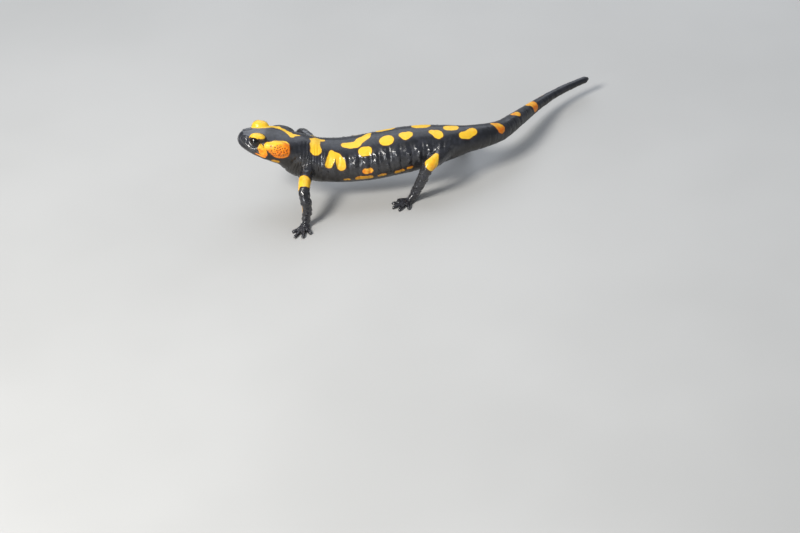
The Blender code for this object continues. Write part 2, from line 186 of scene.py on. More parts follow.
# Along each line on the head: behind the snout tip, aside, above the axis
CHEEK_RIDGE = ((2.4, 3.5, 2.7), (4.4, 5.8, 2.2), (6.9, 7.8, 1.3), (9.2, 8.7, 1.1),
               (10.9, 9.0, 1.8), (12.0, 8.8, 3.3))
GLAND_CREASE = ((12.0, 8.3, 4.6), (13.4, 9.1, 3.1), (14.7, 9.8, 1.7), (16.2, 10.2, 0.2),
                (18.6, 10.3, -1.0), (21.9, 9.8, -2.0), (25.5, 9.0, -1.2))
SNOUT_EDGE = ((2.6, 2.6, 3.4), (4.2, 3.3, 4.3), (5.8, 4.4, 5.2))
EYE_CORNER_BUMP = (12.7, 7.8, 4.9)
NOSTRIL = (1.3, 3.3, 1.5)
NOSE_TOP = (2.4, 0.0, 3.8)

PORE_SHIFT = 0.42         # the most that a gland's pore is out of its row
PORE_SIZES = (0.17, 0.36)  # the least and greatest half width

MARK_JOIN = 0.9           # how softly a marking's patches run into each other
MARK_SPAN = 18.0          # skin farther than this from a marking's middle is outside it
GLAND_GAP = 0.38          # of black along the gland's crease, to each side


# ---- Curves and coordinates ----
def unit(vectors):
    """The vectors with length one."""
    return vectors / np.linalg.norm(vectors, axis=-1, keepdims=True)


def eased(low, high, value):
    """0 at low, 1 at high, smooth between and flat beyond; it falls where low is over high."""
    share = np.clip((value - low) / (high - low), 0.0, 1.0)
    return share * share * (3.0 - 2.0 * share)


def window(value, start, full, fade, end):
    """1 between full and fade, 0 outside start and end."""
    return eased(start, full, value) * (1.0 - eased(fade, end, value))


def hill(distance, width):
    """A rounded rise of height one."""
    return np.exp(-(distance / width) ** 2)


def smooth_rows(rows, step):
    """The rows joined by one smooth curve through their first three columns."""
    rows = np.array(rows, dtype=float)
    spans = np.linalg.norm(np.diff(rows[:, :3], axis=0), axis=1)
    along = np.concatenate(([0.0], np.cumsum(spans)))
    slopes = np.gradient(rows, along, axis=0)
    samples = np.linspace(0.0, along[-1], max(3, round(along[-1] / step)) + 1)
    first = np.clip(np.searchsorted(along, samples, side="right") - 1, 0, len(spans) - 1)
    span = spans[first][:, None]
    t = (samples - along[first])[:, None] / span
    return ((2 * t**3 - 3 * t**2 + 1) * rows[first] + (t**3 - 2 * t**2 + t) * span * slopes[first]
            + (3 * t**2 - 2 * t**3) * rows[first + 1] + (t**3 - t**2) * span * slopes[first + 1])


class Line:
    """A centreline with its cross-section at each step."""

    def __init__(self, rows, upward, step):
        rows = smooth_rows(rows, step)
        self.places = rows[:, :3]
        self.width, self.above, self.below, self.power = rows[:, 3:7].T
        self.forward = unit(np.gradient(self.places, axis=0))
        upward = np.array(upward, dtype=float)
        self.up = unit(upward - self.forward * (self.forward @ upward)[:, None])
        self.side = np.cross(self.up, self.forward)
        spans = np.linalg.norm(np.diff(self.places, axis=0), axis=1)
        self.along = np.concatenate(([0.0], np.cumsum(spans)))

    def radius(self, at, turn):
        """The section's radius in a direction turned from up towards the side."""
        height = np.where(np.cos(turn) > 0, self.above[at], self.below[at])
        power = self.power[at]
        shares = np.abs(np.sin(turn) / self.width[at]) ** power + np.abs(np.cos(turn) / height) ** power
        return shares ** (-1.0 / power)

    def on_skin(self, along, degrees, share=1.0):
        """The place at a length along the line, an angle from up and a share of the radius."""
        at = min(int(np.searchsorted(self.along, along)), len(self.along) - 1)
        turn = math.radians(degrees)
        way = math.sin(turn) * self.side[at] + math.cos(turn) * self.up[at]
        return self.places[at] + way * self.radius(at, turn) * share

    def read(self, points):
        """Each point's length along the line, turn from up, distance and share of the radius."""
        squares = (self.places**2).sum(axis=1)
        at = np.concatenate([
            (squares - 2.0 * block @ self.places.T).argmin(axis=1)
            for block in np.array_split(points, len(points) // 20000 + 1)])
        away = points - self.places[at]
        ahead = (away * self.forward[at]).sum(axis=1)
        aside = (away * self.side[at]).sum(axis=1)
        height = (away * self.up[at]).sum(axis=1)
        turn = np.arctan2(aside, height)
        reach = np.hypot(aside, height)
        return self.along[at] + ahead, turn, reach, reach / self.radius(at, turn)

    def tube(self, around):
        """The closed surface around the line."""
        turns = np.linspace(0.0, 2.0 * math.pi, around, endpoint=False)
        cos, sin = np.cos(turns), np.sin(turns)
        power = 2.0 / self.power[:, None]
        aside = np.sign(cos) * np.abs(cos) ** power * self.width[:, None]
        tall = np.where(sin > 0, self.above[:, None], self.below[:, None])
        height = np.sign(sin) * np.abs(sin) ** power * tall
        points = (self.places[:, None] + aside[..., None] * self.side[:, None]
                  + height[..., None] * self.up[:, None]).reshape(-1, 3)
        return points, ring_faces(len(self.along), around)


def ring_faces(rings, around):
    """The faces of a closed surface whose points lie in rings, with one face over each end."""
    last = rings * around - 1
    faces = [tuple(range(around)), tuple(range(last, last - around, -1))]
    for ring, k in itertools.product(range(rings - 1), range(around)):
        a = ring * around + k
        b = ring * around + (k + 1) % around
        faces.append((a, a + around, b + around, b))
    return faces


def lattice_noise(points, cells, seed):
    """Smooth noise from -1 to 1, with one hashed value at each corner of a grid of cells."""
    levels = 4096
    scaled = points / np.array(cells, dtype=float)
    low = np.floor(scaled).astype(np.int64)
    share = eased(0, 1, scaled - low)
    total = np.zeros(len(points))
    for corner in itertools.product((0, 1), repeat=points.shape[1]):
        mixed = np.full(len(points), seed * 7919, dtype=np.int64)
        weight = np.ones(len(points))
        for axis, step in enumerate(corner):
            mixed = ((mixed ^ (low[:, axis] + step)) * 2654435761) & 0xFFFFFFFF
            mixed ^= mixed >> 15
            weight *= share[:, axis] if step else 1.0 - share[:, axis]
        total += weight * (mixed % levels) / (0.5 * (levels - 1))
    return total - 1.0


def from_stretch(points, start, end):
    """Each point's share of the way along a straight stretch, and its offset from it."""
    along = end - start
    share = np.clip((points - start) @ along / max(along @ along, 1e-9), 0.0, 1.0)
    return share, points - start - share[:, None] * along


def path_distance(points, path):
    """The distance from each point to a chain of straight stretches."""
    nearest = np.full(len(points), np.inf)
    for start, end in itertools.pairwise(np.array(path)):
        _, away = from_stretch(points, start, end)
        nearest = np.minimum(nearest, (away**2).sum(axis=1))
    return np.sqrt(nearest)


# ---- The head's own directions ----
def head_axes():
    """Rows: the head's backward, left and up directions."""
    yaw, pitch = math.radians(HEAD_YAW), math.radians(HEAD_PITCH)
    forward = np.array((-math.cos(yaw) * math.cos(pitch), math.sin(yaw) * math.cos(pitch),
                        math.sin(pitch)))
    left = np.array((-math.sin(yaw), -math.cos(yaw), 0.0))
    return np.array((-forward, left, np.cross(forward, left)))


HEAD_AXES = head_axes()
SNOUT = NECK_JOINT - HEAD_AXES[0] * HEAD_LENGTH


def on_head(place):
    """A place given behind the snout tip, to the left and above the axis."""
    return SNOUT + np.array(place) @ HEAD_AXES


def mirrored(place, side):
    """The place with its middle number towards the left (1) or the right (-1)."""
    return np.array((place[0], side * place[1], place[2]))


def in_head(points):
    """The points behind the snout tip, to the left and above the axis."""
    return (points - SNOUT) @ HEAD_AXES.T


BODY = Line(
    [(*on_head((behind, 0.0, 0.0)), *sizes) for behind, *sizes in HEAD_SECTIONS] + list(SPINE_SECTIONS),
    UP, STEP)


def leg_lines(leg):
    """The centrelines of a leg, its ankle and its digits."""
    heading = math.radians(leg["heading"])
    x, y, z, r = leg["joints"][-1]
    heel = [(x, y, z + 1.0, r, r, r, 2.0), (x, y, z, r, r, r, 2.0),
            (*leg["sole"], PALM[2], PALM[1] - DIGIT_OVERLAP, PALM[2], PALM[2], 2.0)]
    joints = [(x, y, z, r, r, r, 2.0) for x, y, z, r in leg["joints"]]
    lines = [Line(rows, (1.0, 0.0, 0.0), STEP) for rows in (joints, heel)]
    for angle, length in leg["digits"]:
        turn = heading + math.radians(angle)
        way = np.array((math.cos(turn), math.sin(turn)))
        rows = [(*(leg["sole"] + way * DIGIT_RADIUS), PALM[2] - PALM_SINK, *([DIGIT_RADIUS] * 3), 2.0)]
        for share, rise, size in DIGIT_SECTIONS:
            place = leg["sole"] + way * (PALM[1] - DIGIT_OVERLAP + share * length)
            rows.append((*place, DIGIT_HEIGHT + rise, *([DIGIT_RADIUS * size] * 3), 2.0))
        lines.append(Line(rows, UP, DIGIT_STEP))
    return lines


LEG_LINES = {name: leg_lines(leg) for name, leg in LEGS.items()}


# ---- The fused skin ----
def ellipsoid(centre, half_sizes, axes, rings=20, around=32):
    """A rounded mass; the rows of axes are its own directions."""
    points = []
    for ring, k in itertools.product(range(1, rings), range(around)):
        tilt = math.pi * ring / rings
        turn = 2.0 * math.pi * k / around
        reach = math.sin(tilt)
        points.append((reach * math.cos(turn), reach * math.sin(turn), math.cos(tilt)))
    return centre + (np.array(points) * half_sizes) @ axes, ring_faces(rings - 1, around)


def mesh_of(shapes, name):
    """One mesh of several closed shapes."""
    points, faces, start = [], [], 0
    for shape_points, shape_faces in shapes:
        points.append(shape_points)
        faces += [tuple(start + i for i in corners) for corners in shape_faces]
        start += len(shape_points)
    mesh = bpy.data.meshes.new(name)
    mesh.from_pydata((np.concatenate(points) * MM).tolist(), [], faces)
    return mesh


def with_modifiers(item, *settings):
    """The object's mesh after a stack of modifiers, each a type and its settings."""
    for kind, values in settings:
        modifier = item.modifiers.new(kind.title(), kind)
        for key, value in values.items():
            setattr(modifier, key, value)
    bpy.context.view_layer.update()
    mesh = bpy.data.meshes.new_from_object(item.evaluated_get(bpy.context.evaluated_depsgraph_get()))
    item.modifiers.clear()
    return mesh


def points_of(mesh, what="vertices", field="co"):
    """The mesh's places, or another triple of each vertex, as an array."""
    items = getattr(mesh, what)
    values = np.empty(len(items) * 3, dtype=np.float32)
    items.foreach_get(field, values)
    return values.reshape(-1, 3).astype(float)


def set_points(mesh, points):
    """Moves the mesh's vertices."""
    mesh.vertices.foreach_set("co", points.astype(np.float32).ravel())
    mesh.update()


def fused_shapes():
    """All the flesh as overlapping closed shapes."""
    shapes = [BODY.tube(around=72)]
    for side in (1, -1):
        for place, half_sizes in (LID, LOWER_LID, PAROTOID, JAW_MUSCLE):
            shapes.append(ellipsoid(on_head(mirrored(place, side)), half_sizes, HEAD_AXES))
        shapes.append(ellipsoid(on_head(mirrored(EYE_PLACE, side)),
                                (EYE_RADIUS + LID_THICKNESS,) * 3, HEAD_AXES, 28, 48))
    for name, leg in LEGS.items():
        turn = math.radians(leg["heading"])
        way = np.array(((math.cos(turn), math.sin(turn), 0.0), (-math.sin(turn), math.cos(turn), 0.0), UP))
        shapes.append(ellipsoid(np.array((*leg["sole"], PALM[2] - PALM_SINK)), PALM, way))
        shapes += [line.tube(around=24) for line in LEG_LINES[name]]
    return shapes


class Places:
    """Where each point of the skin lies on the animal."""

    def __init__(self, points):
        self.points = points
        self.along, self.turn, reach, self.share = BODY.read(points)
        self.aside = np.abs(np.degrees(self.turn))
        self.around = self.turn * reach
        rise = reach * np.cos(self.turn)
        upright = self.along + NECK_LEAN * rise * window(self.along, *NECK_LEAN_ALONG)
        self.lie = np.column_stack((upright, reach * np.sin(self.turn), rise))
        self.head = in_head(points)
        self.mirror = self.head * np.where(self.head[:, 1:2] < 0.0, (1.0, -1.0, 1.0), 1.0)
        self.limb = eased(1.06, 1.3, self.share) * eased(*LEGS_ALONG, self.along)
        self.leg_along = np.zeros(len(points))
        self.leg_lie = np.zeros((len(points), 3))
        self.leg_share = np.full(len(points), np.inf)
        for lines in LEG_LINES.values():
            for order, line in enumerate(lines):
                along, turn, reach, share = line.read(points)
                nearer = share < self.leg_share
                start = 0.0 if order == 0 else lines[0].along[-1]
                self.leg_along = np.where(nearer, start + along, self.leg_along)
                lie = np.column_stack((start + along, reach * np.sin(turn), reach * np.cos(turn)))
                self.leg_lie = np.where(nearer[:, None], lie, self.leg_lie)
                self.leg_share = np.minimum(share, self.leg_share)


# ---- Relief of the skin ----
def costal_folds(at):
    """The upright folds of the flank between fore and hind legs, parted by grooves."""
    drift = 0.6 * lattice_noise(at.points, 6.0, 1)
    drift += 0.25 * lattice_noise(at.points, 2.2, 9)
    phase = (at.along - COSTAL_START + drift + 0.012 * at.aside) / COSTAL_STEP
    fold = 1.0 - (1.0 - np.abs(np.sin(math.pi * phase))) ** 2.4
    place = window(at.aside, *COSTAL_ASIDE) * window(at.along, *COSTAL_ALONG)
    depth = COSTAL_DEPTH * (1.0 + 0.45 * lattice_noise(at.points, 4.0, 10))
    return depth * (fold - 0.82) * place


def warts(at):
    """Soft gland bumps in rows on the flank's folds."""
    dice = random.Random(11)
    raised = np.zeros(len(at.points))
    for fold, (degrees, width, height), side in itertools.product(
            range(COSTAL_FOLDS), WART_ROWS, (-1, 1)):
        for share, smaller in ((0.5, 1.0), (0.2 + 0.6 * dice.random(), 0.45)):
            along = COSTAL_START + COSTAL_STEP * (fold + share + dice.uniform(-0.09, 0.09))
            centre = BODY.on_skin(along, side * (degrees + dice.uniform(-3.5, 3.5)))
            near = np.abs(at.along - along) < 4.0
            away = np.linalg.norm(at.points[near] - centre, axis=1)
            size = width * dice.uniform(0.8, 1.2) * (0.4 + 0.6 * smaller)
            raised[near] += height * smaller * dice.uniform(0.6, 1.2) * hill(away, size)
    return raised * window(at.along, *WARTS_ALONG)


def back_furrow(at):
    """A shallow furrow down the mid back between two faint rows of glands."""
    drift = 3.0 * lattice_noise(at.points, 6.0, 2)
    beads = 0.5 + 0.5 * np.cos(2.0 * math.pi * at.along / BACK_BEAD_STEP + drift)
    rows = hill(np.abs(at.around) - BACK_ROW, 0.7) * beads
    return window(at.along, *FURROW_ALONG) * (0.07 * rows - 0.12 * hill(at.around, 1.3))


def neck_folds(at):
    """Upright wrinkles behind the glands, and the deep fold under the throat."""
    drift = lattice_noise(at.points, 5.0, 3)
    waves = np.sin(2.0 * math.pi * (at.lie[:, 0] + 0.5 * drift) / NECK_WRINKLE_STEP)
    place = window(at.along, *NECK_ALONG) * window(at.aside, *NECK_ASIDE)
    fold = hill(at.along - THROAT_FOLD - 0.6 * drift - 0.012 * (180.0 - at.aside), 0.75)
    return 0.07 * waves * place - 0.42 * fold * eased(40, 100, at.aside)


def tail_rings(at):
    """Faint rings along the tail."""
    drift = 0.4 * lattice_noise(at.points, 6.0, 4)
    phase = (at.along - TAIL_RING_START + drift) / TAIL_RING_STEP
    ring = 1.0 - (1.0 - np.abs(np.sin(math.pi * phase))) ** 3
    return 0.10 * (ring - 0.85) * window(at.along, *TAIL_ALONG) * eased(10, 45, at.aside)


def wrinkles(at):
    """Fine wrinkles that run round the body, and unevenness between them."""
    fine = lattice_noise(at.lie, (1.0, 5.0, 5.0), 5)
    broad = lattice_noise(at.points, 4.0, 6)
    grains = np.maximum(lattice_noise(at.points, 1.0, 12), 0.0)
    strength = 0.04 + 0.07 * window(at.aside, *WRINKLES_ASIDE)
    side = window(at.aside, *GRAINS_ASIDE) * window(at.along, *GRAINS_ALONG)
    return fine * strength * eased(24, 29, at.along) + 0.07 * broad + 0.13 * grains * side


def limb_folds(at):
    """Creases across the legs, closest at the elbow, knee, wrist and ankle."""
    fine = lattice_noise(at.leg_lie, (0.85, 2.6, 2.6), 7)
    beads = lattice_noise(at.points, 1.1, 8)
    joints = hill(at.leg_along - ELBOW_OR_KNEE, 3.0) + hill(at.leg_along - WRIST_OR_ANKLE, 3.5)
    small = np.maximum(lattice_noise(at.points, 0.75, 13), -0.2)
    knobs = 0.16 * np.maximum(beads, -0.3) + 0.17 * small
    return 0.15 * fine * (0.6 + joints) + 0.10 * beads + window(at.leg_along, *KNOBS_ALONG) * knobs


def mouth_height(behind):
    """The height of the mouth's line on the head's axis."""
    (front, front_height), (corner, corner_height) = MOUTH_FRONT, MOUTH_CORNER
    straight = front_height + (behind - front) * (corner_height - front_height) / (corner - front)
    return straight - 0.35 * np.sin(np.clip(behind / corner, 0.0, 1.0) * 2.0 * math.pi)


def mouth(at):
    """The closed mouth's line, with the upper lip standing over the lower."""
    behind, _, above = at.head.T
    over = above - mouth_height(behind)
    length = 1.0 - eased(MOUTH_CORNER[0] - 0.6, MOUTH_CORNER[0] + 1.2, behind)
    line = -0.34 * hill(over, 0.30)
    upper = 0.14 * hill(over - 0.75, 0.6)
    lower = -0.22 * hill(over + 0.7, 0.65)
    return length * (line + upper + lower)


def face(at):
    """Nostrils, a rounded nose, the ridge under the eye, the gland's crease and a flat crown."""
    behind, middle, above = at.head.T
    nostril = np.linalg.norm(at.mirror - NOSTRIL, axis=1)
    ridge = path_distance(at.mirror, CHEEK_RIDGE)
    inside = path_distance(at.mirror, [(b, s - 0.3, a + 1.2) for b, s, a in CHEEK_RIDGE[1:-1]])
    under = path_distance(at.mirror, [(b, s, a - 1.4) for b, s, a in CHEEK_RIDGE[:-1]])
    crease = path_distance(at.mirror, GLAND_CREASE)
    edge = path_distance(at.mirror, SNOUT_EDGE)
    corner = np.linalg.norm(at.mirror - EYE_CORNER_BUMP, axis=1)
    nose = np.linalg.norm(at.mirror - NOSE_TOP, axis=1)
    canthus = np.linalg.norm(at.mirror - SNOUT_EDGE[1], axis=1)
    raised = 0.10 * hill(nostril - 0.6, 0.25) - 0.5 * hill(nostril, 0.33)
    raised += 0.68 * hill(ridge, 0.80) - 0.38 * hill(inside, 0.6) - 0.20 * hill(under, 0.7)
    raised += 0.50 * hill(nose, 2.6) + 0.22 * hill(canthus, 1.1)
    raised += 0.30 * hill(edge, 0.8) + 0.34 * hill(corner, 0.7) - 0.42 * hill(crease, 0.42)
    return raised - 0.16 * hill(middle, 2.6) * window(behind, *CROWN_BEHIND) * (above > 0)


def gland_pores():
    """Where the parotoid gland's pores open: behind the snout tip, above the axis, half width."""
    dice = random.Random(5)
    (middle, _, height), _ = PAROTOID
    pores = []
    for row, column in itertools.product(range(-3, 4), range(-5, 6)):
        stagger = 0.55 if row % 2 else 0.0
        behind = middle + 1.1 * column + stagger + dice.uniform(-PORE_SHIFT, PORE_SHIFT)
        above = height - 0.3 + 1.05 * row + dice.uniform(-PORE_SHIFT, PORE_SHIFT)
        size = dice.uniform(*PORE_SIZES)
        inside = ((behind - middle - 0.2) / 5.0) ** 2 + ((above - height) / 3.2) ** 2 < 1.0
        upper_front = (behind - middle) * 0.6 - (above - height) < -3.2
        if inside and not (upper_front and dice.random() < 0.6):
            pores.append((behind, above, size))
    return pores


def pore_distance(at):
    """How far each point lies outside the nearest pore's rim."""
    nearest = np.full(len(at.points), 3.0)
    outer = at.mirror[:, 1] > 6.0
    for behind, above, size in gland_pores():
        away = np.hypot(at.mirror[outer, 0] - behind, at.mirror[outer, 2] - above) - size
        nearest[outer] = np.minimum(nearest[outer], away)
    return nearest


def relief(at):
    """How far each point of the skin stands out, along its own normal."""
    bare = 1.0 - 0.7 * eased(0.4, -0.4, mark_distance(at))
    trunk = costal_folds(at) + back_furrow(at) + neck_folds(at) + tail_rings(at)
    trunk += bare * (warts(at) + wrinkles(at))
    on_face = 1.0 - eased(26, 30, at.head[:, 0])
    head = mouth(at) + face(at) - 0.10 * hill(pore_distance(at), 0.22)
    return trunk * (1.0 - at.limb) + limb_folds(at) * at.limb + head * on_face


def open_eyes(points):
    """Draws the skin back from the eyeballs inside each lid opening, and rounds the lids."""
    for side in (1, -1):
        away = in_head(points) - mirrored(EYE_PLACE, side)
        away = away * (1.0, side, 1.0)
        look = unit(np.array(EYE_LOOK))
        tilt = math.radians(EYE_TILT)
        back = np.array((math.cos(tilt), 0.0, math.sin(tilt)))
        back = unit(back - look * (back @ look))
        rise = np.cross(back, look)
        rise *= np.sign(rise[2])
        reach = np.linalg.norm(away, axis=1)
        across = np.abs(away @ back / EYE_OPENING[0]) ** EYE_CORNERS
        height = np.abs(away @ rise / EYE_OPENING[1]) ** EYE_CORNERS
        oval = (across + height) ** (1.0 / EYE_CORNERS)
        front = (away @ look > 0.0) & (reach < EYE_RADIUS + 2.5)
        rim = EYE_RADIUS + LID_THICKNESS + LID_RIM * hill(oval - 1.2, 0.14)
        inner = EYE_RADIUS - EYE_HOLLOW
        wanted = inner + (rim - inner) * eased(0.82, 1.08, oval)
        blend = front * (1.0 - eased(1.25, 1.6, oval))
        scale = 1.0 + blend * (wanted / np.maximum(reach, 0.1) - 1.0)
        moved = away * scale[:, None] * (1.0, side, 1.0) + mirrored(EYE_PLACE, side)
        points = np.where((blend > 0)[:, None], SNOUT + moved @ HEAD_AXES, points)
    return points


# ---- Markings ----
# Each marking is a chain of round patches. On the body: along it from the snout tip, degrees
# from the mid back (left negative), half width.
BODY_MARKS = (
    # left of the mid back, from the shoulders to the tail's root
    ((31.8, -3, 1.1), (36.0, 3, 1.3), (41.4, 6, 0.8)),
    ((35.0, -4, 2.3), (34.7, -24, 2.3), (36.0, -39, 2.8)),
    ((46.3, -41, 1.3), (45.7, -60, 1.9), (45.2, -73, 1.8)),
    ((46.5, -43, 1.2), (49.4, -50, 1.4), (51.1, -65, 2.1), (51.6, -76, 2.2)),
    ((53.8, -16, 1.8), (57.0, -18.5, 2.1), (60.2, -19, 2.1), (62.6, -3, 2.3), (65.6, 8, 2.0),
     (67.0, 24, 1.4)),
    ((63.4, -45, 2.55), (64.9, -45, 2.55)),
    ((74.9, -24.5, 3.1), (75.8, -24.5, 3.3)),
    ((83.7, -15.5, 2.0), (85.1, -22.5, 2.1), (86.1, -17.5, 2.2)),
    ((97.3, -16.5, 1.5), (99.8, -25, 2.3), (100.4, -31, 2.3)),
    ((111.2, -42, 1.9), (113.0, -43.5, 1.9), (115.6, -31, 2.3)),
    # right of the mid back
    ((34.5, 40, 2.4), (36.5, 47, 2.2)),
    ((47.0, 60, 2.0), (50.5, 68, 2.4)),
    ((60.6, 46, 1.9), (63.2, 54, 2.3)),
    ((73.4, 36, 2.8), (78.0, 35, 2.8)),
    ((84.0, 68, 1.8), (86.5, 72, 1.6)),
    ((91.0, 25, 3.0), (94.8, 25, 3.0)),
    ((105.6, 3, 2.4), (108.2, 3, 2.3)),
    ((113.0, 48, 2.1), (116.4, 42, 1.9)),
    # the left flank's foot and the belly's edge
    ((63.0, -93, 1.6), (65.2, -93, 1.6)),
    ((59.0, -113, 1.5), (65.0, -113, 1.2)),
    ((53.0, -116, 0.8), (55.0, -116, 0.7)),
    ((69.0, -113, 0.9), (72.0, -112, 0.8)),
    ((77.6, -113, 1.1), (80.8, -112, 1.0)),
    ((83.6, -109, 0.9), (85.0, -108, 0.8)),
    # the right flank's foot and the belly
    ((56.0, 95, 1.7), (58.5, 92, 1.4)),
    ((78.0, 102, 1.5), (79.2, 99, 1.3)),
    ((92.0, 106, 1.3),),
    ((48.0, 150, 1.6), (49.5, 156, 1.2)),
    ((66.0, -158, 1.8), (67.0, -164, 1.3)),
    ((84.0, 170, 1.5),),
    # tail
    ((127.4, -4, 0.9), (129.3, -30, 2.1), (130.4, -47, 2.75)),
    ((124.0, 46, 1.5), (126.0, 55, 1.3)),
    ((145.8, 0, 1.2), (148.4, -16, 1.9)),
    ((139.0, 62, 1.7), (141.0, 52, 1.5)),
    ((154.0, 56, 1.5), (155.5, 66, 1.2)),
    ((162.0, 4, 1.2), (165.4, 10, 2.2), (165.2, -30, 2.5), (164.6, -66, 2.3)),
    ((176.0, 62, 1.3), (178.0, 50, 1.1)),
)
# On the head: behind the snout tip, to the left, above the axis, half width
HEAD_MARKS = (
    ((7.0, 5.2, 6.5, 1.9), (9.2, 6.0, 7.4, 2.2), (11.7, 5.9, 7.3, 1.9)),
    ((7.2, -4.7, 6.1, 2.0), (9.2, -4.9, 6.8, 2.6), (11.6, -4.8, 6.6, 2.3)),
    ((11.2, -4.8, 6.8, 1.9), (13.2, -5.2, 6.3, 1.6), (15.0, -6.1, 5.9, 1.3), (18.6, -5.6, 6.2, 1.0),
     (21.6, -4.3, 6.1, 1.0), (24.4, -1.9, 6.1, 1.15), (26.0, 0.3, 6.1, 1.3)),
    ((26.0, -0.6, 6.1, 1.1), (29.4, -1.0, 6.1, 0.4)),
    ((11.9, 8.5, 3.5, 0.7), (12.2, 9.0, 2.3, 1.3), (13.2, 9.5, 0.8, 1.7), (14.2, 9.8, -0.4, 1.4)),
    ((9.6, 8.8, -1.6, 0.5), (14.2, 9.6, -2.0, 0.8)),
    ((15.4, 8.6, 3.9, 1.9), (18.4, 8.8, 3.3, 3.1), (20.8, 8.8, 2.4, 3.8), (22.4, 8.4, 2.2, 3.7),
     (22.6, 7.6, 3.6, 3.1), (19.4, 7.8, 4.4, 2.4)),
    ((18.6, 9.2, -4.0, 0.9), (20.8, 8.8, -4.3, 1.0)),
    # on the head's right side
    ((11.6, -9.2, 0.6, 1.5), (13.4, -9.8, -0.6, 1.7)),
    ((17.0, -9.6, 0.4, 2.0), (21.4, -10.2, -0.4, 2.4)),
)
# On the legs: along the leg, degrees from its rear line, share of its radius, half width
LEG_MARKS = {
    "front_left": (
        ((13.8, -120, 0.35, 4.0), (15.2, 180, 0.8, 2.4)),
        ((24.4, 180, 1.0, 0.6), (26.5, 180, 1.0, 0.75), (28.0, 180, 1.0, 0.5))),
    "front_right": (
        ((23.4, 90, 0.4, 3.0), (25.6, 60, 0.7, 2.4)),
        ((31.5, 60, 1.0, 0.8), (33.0, 50, 1.0, 0.6))),
    "hind_left": (
        ((11.4, -70, 0.9, 1.3), (15.0, -50, 0.6, 3.3)),),
    "hind_right": (
        ((13.0, 80, 0.8, 2.2), (16.0, 60, 0.8, 2.7)),
        ((24.6, 20, 1.0, 1.0),)),
}


def patch_distance(points, patches):
    """Signed distance to a chain of round patches joined smoothly, negative inside."""
    total = np.full(len(points), 10.0 * MARK_JOIN)
    ends = patches[1:] if len(patches) > 1 else patches
    for (start, first), (end, last) in zip(patches, ends):
        share, offset = from_stretch(points, start, end)
        away = np.linalg.norm(offset, axis=1) - (first + share * (last - first))
        blend = np.clip(0.5 + 0.5 * (total - away) / MARK_JOIN, 0.0, 1.0)
        total = total + (away - total) * blend - MARK_JOIN * blend * (1.0 - blend)
    return total


def mark_distance(at):
    """Signed distance to the nearest yellow marking, negative inside."""
    chains = [[(BODY.on_skin(along, degrees), size) for along, degrees, size in chain]
              for chain in BODY_MARKS]
    chains += [[(on_head(place), size) for *place, size in chain] for chain in HEAD_MARKS]
    chains += [[(LEG_LINES[name][0].on_skin(*place), size) for *place, size in chain]
               for name, marks in LEG_MARKS.items() for chain in marks]
    nearest = np.full(len(at.points), 4.0)
    for chain in chains:
        middle = np.mean([place for place, _ in chain], axis=0)
        near = np.linalg.norm(at.points - middle, axis=1) < MARK_SPAN
        nearest[near] = np.minimum(nearest[near], patch_distance(at.points[near], chain))
    return np.maximum(nearest, GLAND_GAP - path_distance(at.mirror, GLAND_CREASE))


def orange_and_shade(at):
    """How far a marking's yellow turns to orange: low on the body, on the tail, jaw and gland; partly the
    markings' own orange, partly painted shade on their lower side.
    """
    low = 0.8 * eased(62, 112, at.aside)
    tail = (0.45 + 0.4 * eased(20, 60, at.aside)) * eased(112, 128, at.along)
    behind, aside, above = at.mirror.T
    gland = 0.12 + 0.88 * eased(-5.0, 4.0, (behind - 18.0) * 0.75 - (above - 3.0))
    gland *= eased(5.5, 7.5, aside) * eased(4.5, 3.0, above - 0.25 * (behind - 12.0))
    jaw = 0.62 * (1.0 - eased(14.2, 15.4, behind)) * eased(3.4, 1.6, above)
    trunk = np.where(behind < 27.0, np.maximum(gland, jaw), np.maximum(low, tail))
    return trunk * (1.0 - at.limb) + 0.22 * at.limb


